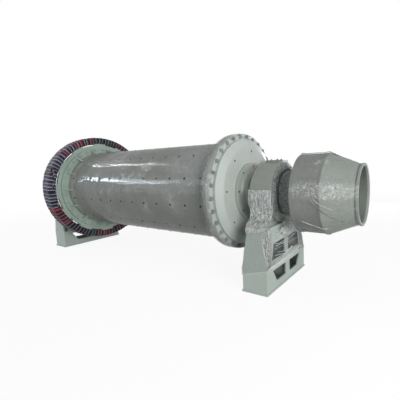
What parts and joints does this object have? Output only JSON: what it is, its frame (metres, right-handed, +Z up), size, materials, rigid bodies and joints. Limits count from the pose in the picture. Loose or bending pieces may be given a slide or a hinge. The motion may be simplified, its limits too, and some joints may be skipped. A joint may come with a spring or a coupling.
{
  "type": "ball mill",
  "caption": "Horizontal ball mill: bolted drum with lined shell, girth gear wrapped in cloth, drum feeder, and trunnion bearings on two welded pedestals.",
  "frame": {"origin": "on the floor, under the middle of the feed pedestal", "axes": "+X along the mill axis towards the feeder, +Y across the mill away from the pictured side, +Z up"},
  "size_m": [6.844, 2.2284, 2.4242],
  "materials": {
    "mill_paint": "satin pale grey-green machine paint",
    "cast_iron_grey": "machined casting with grey-green paint off the journal",
    "lining_steel": "raw cast manganese steel",
    "bearing_bronze": "machined bearing bronze",
    "wrapping_cloth": "wound strips of old dark cloth",
    "stretch_film": "clear wound stretch film"
  },
  "bodies": {
    "stand": {"feed_pedestal_foot": "mill_paint", "feed_pedestal_lower_frame": "mill_paint", "feed_pedestal_shelf": "mill_paint", "feed_pedestal_upper_frame": "mill_paint", "feed_pedestal_top_plate": "mill_paint", "feed_bearing_base": "mill_paint", "feed_bearing_liner": "bearing_bronze", "feed_bearing_cap": "mill_paint", "feed_bearing_cover": "mill_paint", "discharge_pedestal_foot": "mill_paint", "discharge_pedestal_lower_frame": "mill_paint", "discharge_pedestal_shelf": "mill_paint", "discharge_pedestal_upper_frame": "mill_paint", "discharge_pedestal_top_plate": "mill_paint", "discharge_bearing_base": "mill_paint", "discharge_bearing_liner": "bearing_bronze", "discharge_bearing_cap": "mill_paint", "discharge_bearing_cover": "mill_paint"},
    "drum": {"mill_shell": "mill_paint", "shell_lining": "lining_steel", "feed_shell_flange": "mill_paint", "gear_shell_flange": "mill_paint", "feed_head": "mill_paint", "discharge_head": "mill_paint", "feed_trunnion": "cast_iron_grey", "discharge_trunnion": "cast_iron_grey", "girth_gear_upper_half": "mill_paint", "girth_gear_lower_half": "mill_paint", "gear_cloth_wrap": "wrapping_cloth", "feed_flange_film": "stretch_film", "feeder_back_plate": "mill_paint", "feeder_drum": "mill_paint", "feeder_cone": "mill_paint", "feeder_mouth_ring": "mill_paint"}
  },
  "joints": [
    {"name": "drum_spin", "type": "hinge", "parent": "stand", "child": "drum", "pos_m": [0, 0, 1.31], "axis": [1, 0, 0], "continuous": true}
  ]
}
